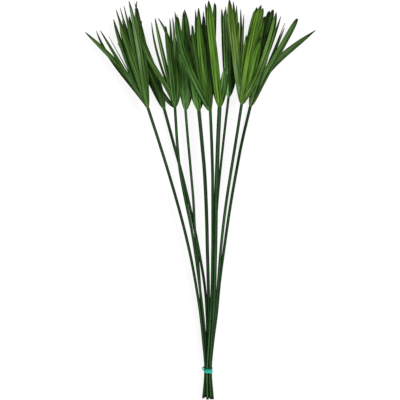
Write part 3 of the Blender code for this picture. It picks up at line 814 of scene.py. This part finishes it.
def bandChain():
    wound = band["start"] - band["stop"] + band["turns"] * 360.0
    whole = wound + band["crossing"]
    lifted = band["thickness"] + band["clearance"]
    count = band["stations"]
    turned = [n * whole / count for n in range(count)]
    flat = [hullPoint(math.radians(band["start"] - gone), bunch["tieY"], 0.0)[0] for gone in turned]
    travel = [0.0]
    for n in range(1, count):
        travel.append(travel[-1] + (flat[n] - flat[n - 1]).length)
    woundTravel = next(travel[n] for n in range(count) if turned[n] >= wound)
    crossTravel = (travel[-1] - woundTravel) * band["dive"]
    rise = band["rise"]
    peak = wound - rise / 3
    chain = []
    for n, gone in enumerate(turned):
        # up the bundle with the length of the turns, then back across them on the top
        if travel[n] <= woundTravel:
            climb = travel[n] / woundTravel
        else:
            climb = 1 - ease(travel[n], woundTravel, woundTravel + crossTravel)
        angle = math.radians(band["start"] - gone)
        slump = ease(gone, wound - rise, wound) * (climb if travel[n] > woundTravel else 1.0)
        y = bunch["tieY"] + band["higher"] + band["reach"] * (2 * climb - 1)
        y += band["tilt"] * math.cos(angle) - band["slump"] * slump
        down = 1 - ease(gone, 0.0, band["fall"])
        up = ease(gone, wound - rise, wound - rise / 4)
        bight = ease(gone, wound - rise, peak) * (1 - ease(gone, peak, wound + rise))
        lift = lifted * (down + up) + band["bight"] * bight
        place, out = hullPoint(angle, y, lift)
        # the top of the last turn lies in the shade of the strand that crosses it
        shade = ease(gone, *(wound - before for before in band["shadeFrom"]))
        shade *= 1 - ease(gone, *(wound - before for before in band["shadeTo"]))
        chain.append({"place": place, "bandOut": out, "bandShade": shade})
    soft = []
    for n, point in enumerate(chain):
        near = [chain[(n + step) % count] for step in range(-band["softening"], band["softening"] + 1)]
        place = sum((other["place"] for other in near), Vector()) / len(near)
        out = sum((other["bandOut"] for other in near), Vector()).normalized()
        soft.append({"place": settled(place), "bandOut": tuple(out), "bandShade": point["bandShade"]})
    return soft


def buildBandTree(material):
    tree, make, given = startTree("rubberBand", bandSizes)
    ring, x, y = sectionRing(make, given)

    def squared(value):
        # a circle's coordinates drawn out towards a rectangle with round corners
        sign = make.add("ShaderNodeMath", {"operation": "SIGN"}, {0: value})
        return sign * abs(value) ** band["corner"]

    flat = make.combine(squared(x) * given.out("Thickness") * 0.5, squared(y) * given.out("Width") * 0.5, 0.0)
    shaped = make.add("GeometryNodeSetPosition", {}, {"Geometry": ring, "Position": flat})
    line = make.add("GeometryNodeMeshToCurve", {}, {"Mesh": given.out("Geometry")})
    faced = make.add("GeometryNodeSetCurveNormal", {"mode": "FREE"}, {
        "Curve": line, "Normal": namedVector(make, "bandOut")})
    section = storeFloat(make, shaped, "bandUp", y)
    swept = make.add("GeometryNodeCurveToMesh", {}, {"Curve": faced, "Profile Curve": section})
    endTree(make, swept, material)
    return tree


def buildBand(tree):
    piece = applyTree(pathMesh("rubberBandPath", [bandChain()], loop=True), tree, bandSizes, "rubberBand")
    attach(piece, "root")
    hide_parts("rubber_band")
    print("rubber band made")


# The materials

def startMaterial(name):
    material = bpy.data.materials.new(name)
    material.use_nodes = True
    material.node_tree.nodes.clear()
    return material, NodeMaker(material.node_tree)


def endMaterial(make, sockets):
    shader = make.add("ShaderNodeBsdfPrincipled", {}, sockets)
    make.add("ShaderNodeOutputMaterial", {}, {"Surface": shader})


def endLook(make, look, colour, mottle, height):
    # the mottle spreads the roughness, and the height is for fine relief
    bump = make.add("ShaderNodeBump", {}, {
        "Strength": look["bump"], "Distance": look["bumpHeight"], "Height": height})
    endMaterial(make, {
        "Base Color": colour,
        "Roughness": look["roughness"] + (mottle - 0.5) * look["roughnessSpread"],
        "Specular IOR Level": look["gloss"],
        "Normal": bump,
    })


# Edges are the two values between which a mask comes in. Relief is a pattern's part in the bump.
leafLook = {
    "roughness": 0.6, "roughnessSpread": 0.2, "gloss": 0.05, "bump": 0.6, "bumpHeight": 0.0006,
    "base": 1.30, "darkest": 0.06, "redPower": 1.2, "bluePower": 1.5,
    "veinDepth": 1.1, "fineDepth": 0.8, "broadDepth": 2.0, "veinRelief": 0.6, "fineRelief": 0.4,
    "threads": 42.0, "threadBend": 9.0, "threadDepth": 0.1, "threadRelief": 0.15,
    "midrib": 0.5, "midribAt": -0.05, "midribEdges": (0.03, 0.14), "midribRelief": 0.5,
    "paintedFurrowShade": 0.5, "furrowAt": 0.17, "furrowEdges": (0.03, 0.16),
    "paintedFarSideShade": 0.28, "paintedFarSideShadeEdges": (0.05, 0.6), "paintedCreaseShade": 0.65, "paintedCreaseShadeEdges": (0.46, 0.38),
    "streak": (0.120, 0.200, 0.016), "streakShare": 0.3, "streakEdges": (0.55, 0.75),
    "rootPale": (0.095, 0.165, 0.034), "rootShare": 0.4, "rootEdges": (0.08, 0.0),
    "paintedRimShade": (0.001, 0.009, 0.000), "paintedRimShadeShare": 0.85, "paintedRimShadeEdges": (0.6, 0.95),
    "tipBrown": (0.014, 0.014, 0.006), "tipShare": 0.8, "tipEdges": (-0.02, 0.07), "tipRagged": 0.08,
}
# noise drawn out along the blade: fineness across and along it, place in the noise, detail, roughness
leafPatterns = {
    "lines": (4.8, 1.6, 0.0, 3.0, 0.65),
    "broad": (2.6, 3.5, 9.0, 2.0, 0.6),
    "fine": (20.0, 4.0, 3.0, 2.0, 0.5),
    "creases": (3.4, 1.3, 33.0, 1.0, 0.5),
    "yellow": (3.0, 3.0, 21.0, 3.0, 0.5),
    "ragged": (3.0, 20.0, 5.0, 2.0, 0.5),
}


def buildLeafMaterial():
    material, make = startMaterial("papyrusLeafGreen")
    across = make.attribute("leafAcross")
    along = make.attribute("leafAlong")
    seed = make.attribute("leafSeed")
    tint = make.attribute("leafTint", "Color")
    look = leafLook

    def drawn(name):
        fineAcross, fineAlong, where, detail, roughness = leafPatterns[name]
        vector = make.combine(across * fineAcross, along * fineAlong, seed + where)
        return make.noise(vector, 1.0, detail, roughness)

    # parallel veins, a little uneven, that run the length of the blade
    lines, broad, fine = drawn("lines"), drawn("broad"), drawn("fine")
    threads = (across * look["threads"] + lines * look["threadBend"]).sine()
    value = look["base"] + (lines - 0.5) * (2.0 * look["veinDepth"]) + (fine - 0.5) * look["fineDepth"]
    value = value + (broad - 0.5) * look["broadDepth"] + threads * look["threadDepth"]
    # the midrib is pale, partly its own colour and partly a painted highlight, with painted shade in the furrow
    # beside it
    midrib = 1.0 - make.range(abs(across - look["midribAt"]), *look["midribEdges"])
    paintedFurrowShade = 1.0 - make.range(abs(across - look["furrowAt"]), *look["furrowEdges"])
    value = (value + midrib * look["midrib"] - paintedFurrowShade * look["paintedFurrowShade"]).most(look["darkest"])
    # painted shade: the far half of each blade, across its fold, is darker
    value = value * (1.0 - make.range(across, *look["paintedFarSideShadeEdges"]) * look["paintedFarSideShade"])
    # painted shade in a few creases, as of blades that lie folded
    value = value * (1.0 - make.range(drawn("creases"), *look["paintedCreaseShadeEdges"]) * look["paintedCreaseShade"])
    # darker parts are a deeper green and lighter parts a greyer one
    shades = make.combine(value ** look["redPower"], value, value ** look["bluePower"])
    colour = make.blend(1.0, tint, shades, "MULTIPLY")

    # yellower streaks, a pale root, painted shade along the rims and a dry dark tip
    streak = make.range(drawn("yellow"), *look["streakEdges"])
    colour = make.over(colour, streak * look["streakShare"], look["streak"])
    root = make.range(along, *look["rootEdges"])
    colour = make.over(colour, root * look["rootShare"], look["rootPale"])
    paintedRimShade = make.range(abs(across), *look["paintedRimShadeEdges"])
    colour = make.over(colour, paintedRimShade * look["paintedRimShadeShare"], look["paintedRimShade"])
    ragged = (drawn("ragged") - 0.5) * look["tipRagged"]
    dry = make.range(along - make.attribute("leafDry") + ragged, *look["tipEdges"])
    colour = make.over(colour, dry * look["tipShare"], look["tipBrown"])

    height = lines * look["veinRelief"] + fine * look["fineRelief"] + threads * look["threadRelief"]
    endLook(make, look, colour, broad, height - midrib * look["midribRelief"])
    return material


stemLook = {
    "roughness": 0.6, "roughnessSpread": 0.2, "gloss": 0.03, "bump": 0.4, "bumpHeight": 0.0004,
    "dark": (0.001, 0.010, 0.001), "light": (0.086, 0.215, 0.075), "ribShare": 0.75,
    "lightEdges": (0.30, 0.70), "paintedFlankShadeEdges": (0.92, 0.2),
    "purple": (0.060, 0.036, 0.030), "purpleShare": 0.45, "footEdges": (0.92, 0.96), "purpleEdges": (0.35, 0.6),
    "cut": (0.020, 0.026, 0.012), "cutShare": 0.85, "cutEdges": (0.984, 0.998), "cutRagged": 0.02,
}
collarLook = {"dark": (0.026, 0.064, 0.012), "light": (0.090, 0.180, 0.040)}
# noise round the stem: fineness round and along it, how far apart stems are in it, detail, roughness
stemPatterns = {"ribs": (4.0, 3.0, 7.0, 3.0, 0.6), "patches": (1.2, 14.0, 3.0, 3.0, 0.5)}


def buildStemMaterial(name, dark, light):
    material, make = startMaterial(name)
    along = make.attribute("tubeAlong")
    seed = make.attribute("tubeSeed")
    # the noise lies on a ring, so that the two ends of the wrap meet
    turn = make.attribute("tubeAround") * math.tau
    ringX = turn.sine()
    ringY = (turn + math.pi / 2).sine()
    look = stemLook

    def ringed(name):
        fineAround, fineAlong, apart, detail, roughness = stemPatterns[name]
        vector = make.combine(ringX * fineAround, ringY * fineAround, along * fineAlong + seed * apart)
        return make.noise(vector, 1.0, detail, roughness)

    # fine lengthwise ribs, with painted shade on the flanks and a lighter back and belly
    ribs, patches = ringed("ribs"), ringed("patches")
    share = make.range(ribs * look["ribShare"] + patches * (1 - look["ribShare"]), *look["lightEdges"])
    share = share * make.range(abs(ringY), *look["paintedFlankShadeEdges"]) * make.attribute("tubeTone")
    colour = make.blend(share, (*dark, 1.0), (*light, 1.0))
    # some stems are flushed near the foot, and all are dark where they were cut
    flush = make.attribute("tubeFlush") * make.range(along, *look["footEdges"])
    flush = flush * make.range(patches, *look["purpleEdges"])
    colour = make.over(colour, flush * look["purpleShare"], look["purple"])
    cut = make.range(along + (patches - 0.5) * look["cutRagged"], *look["cutEdges"])
    colour = make.over(colour, cut * look["cutShare"], look["cut"])
    endLook(make, look, colour, patches, ribs)
    return material


bandLook = {
    "roughness": 0.3, "roughnessSpread": 0.15, "gloss": 0.12, "bump": 0.25, "bumpHeight": 0.0002,
    "dark": (0.013, 0.370, 0.265), "light": (0.050, 0.680, 0.520), "shade": (0.000, 0.078, 0.030),
    "cloudScale": 260.0, "cloudEdges": (0.3, 0.7), "grainScale": 2600.0,
    "paintedRimShadeShare": 0.6, "paintedRimShadeEdges": (0.55, 0.95),
}


def buildBandMaterial():
    material, make = startMaterial("tealRubber")
    look = bandLook
    spot = make.add("ShaderNodeTexCoord").out("Object")
    cloud = make.noise(spot, look["cloudScale"], 3.0)
    grain = make.noise(spot, look["grainScale"], 2.0)
    colour = make.blend(make.range(cloud, *look["cloudEdges"]), (*look["dark"], 1.0), (*look["light"], 1.0))
    colour = make.over(colour, make.attribute("bandShade"), look["shade"])
    # painted shade along both edges of the band
    paintedRimShade = make.range(abs(make.attribute("bandUp")), *look["paintedRimShadeEdges"])
    colour = make.over(colour, paintedRimShade * look["paintedRimShadeShare"], look["shade"])
    endLook(make, look, colour, cloud, grain)
    return material


# Floor, light and camera, in metres and watts

studio = {
    "floorSize": 8.0, "floorDrop": 0.0002, "floorGlow": 0.86,
    "paperDark": 0.205, "paperLight": 0.215, "paperScale": 40.0, "paperRoughness": 0.9, "paperGloss": 0.1,
    "key": 50.0, "keySize": 1.5, "keyPlace": (1.5, 0.8, 2.6),
    "fill": 20.0, "fillSize": 2.4, "fillPlace": (-1.0, -0.8, 2.9), "sky": 0.28,
    "cameraHeight": 3.5, "frameWidth": 0.7052, "cameraX": -0.000646, "cameraY": 0.000212,
    "sensor": 36.0, "farthest": 20.0,
}


def addLight(name, place, size, power):
    light = bpy.data.lights.new(name, "AREA")
    light.shape = "DISK"
    light.size = size
    light.energy = power
    lamp = bpy.data.objects.new(name, light)
    lamp.location = place
    lamp.rotation_euler = (-Vector(place)).to_track_quat("-Z", "Y").to_euler()
    bpy.context.scene.collection.objects.link(lamp)


def buildStudio():
    work = bmesh.new()
    bmesh.ops.create_grid(work, x_segments=1, y_segments=1, size=studio["floorSize"] / 2)
    mesh = bpy.data.meshes.new("paleFloor")
    work.to_mesh(mesh)
    work.free()
    floor = bpy.data.objects.new("paleFloor", mesh)
    floor.location.z = -studio["floorDrop"]
    bpy.context.scene.collection.objects.link(floor)
    material, make = startMaterial("palePaper")
    spot = make.add("ShaderNodeTexCoord").out("Object")
    grain = make.noise(spot, studio["paperScale"], 2.0)
    darkPaper, lightPaper = ((studio[tone],) * 3 + (1.0,) for tone in ("paperDark", "paperLight"))
    endMaterial(make, {
        "Base Color": make.blend(grain, darkPaper, lightPaper),
        "Roughness": studio["paperRoughness"],
        "Specular IOR Level": studio["paperGloss"],
        "Emission Color": (1.0, 1.0, 1.0, 1.0),
        "Emission Strength": studio["floorGlow"],
    })
    mesh.materials.append(material)

    addLight("keyLight", studio["keyPlace"], studio["keySize"], studio["key"])
    addLight("fillLight", studio["fillPlace"], studio["fillSize"], studio["fill"])
    world = bpy.data.worlds.new("studioWorld")
    world.use_nodes = True
    background = world.node_tree.nodes["Background"]
    background.inputs["Color"].default_value = (1.0, 1.0, 1.0, 1.0)
    background.inputs["Strength"].default_value = studio["sky"]
    bpy.context.scene.world = world

    camera = bpy.data.cameras.new("photoCamera")
    camera.sensor_width = studio["sensor"]
    camera.lens = studio["sensor"] * studio["cameraHeight"] / studio["frameWidth"]
    camera.clip_end = studio["farthest"]
    eye = bpy.data.objects.new("photoCamera", camera)
    eye.location = (studio["cameraX"], studio["cameraY"], studio["cameraHeight"])
    bpy.context.scene.collection.objects.link(eye)
    bpy.context.scene.camera = eye
    bpy.context.scene.view_settings.view_transform = "Standard"
    print("studio ready")


leafMaterial = buildLeafMaterial()
stemMaterial = buildStemMaterial("papyrusStemGreen", stemLook["dark"], stemLook["light"])
collarMaterial = buildStemMaterial("papyrusCollarGreen", collarLook["dark"], collarLook["light"])
buildLeaves(buildLeafTree(leafMaterial), buildTubeTree("leafCollar", collarSizes, collarMaterial))
buildStems(buildTubeTree("papyrusStem", stemSizes, stemMaterial))
buildBand(buildBandTree(buildBandMaterial()))
buildStudio()
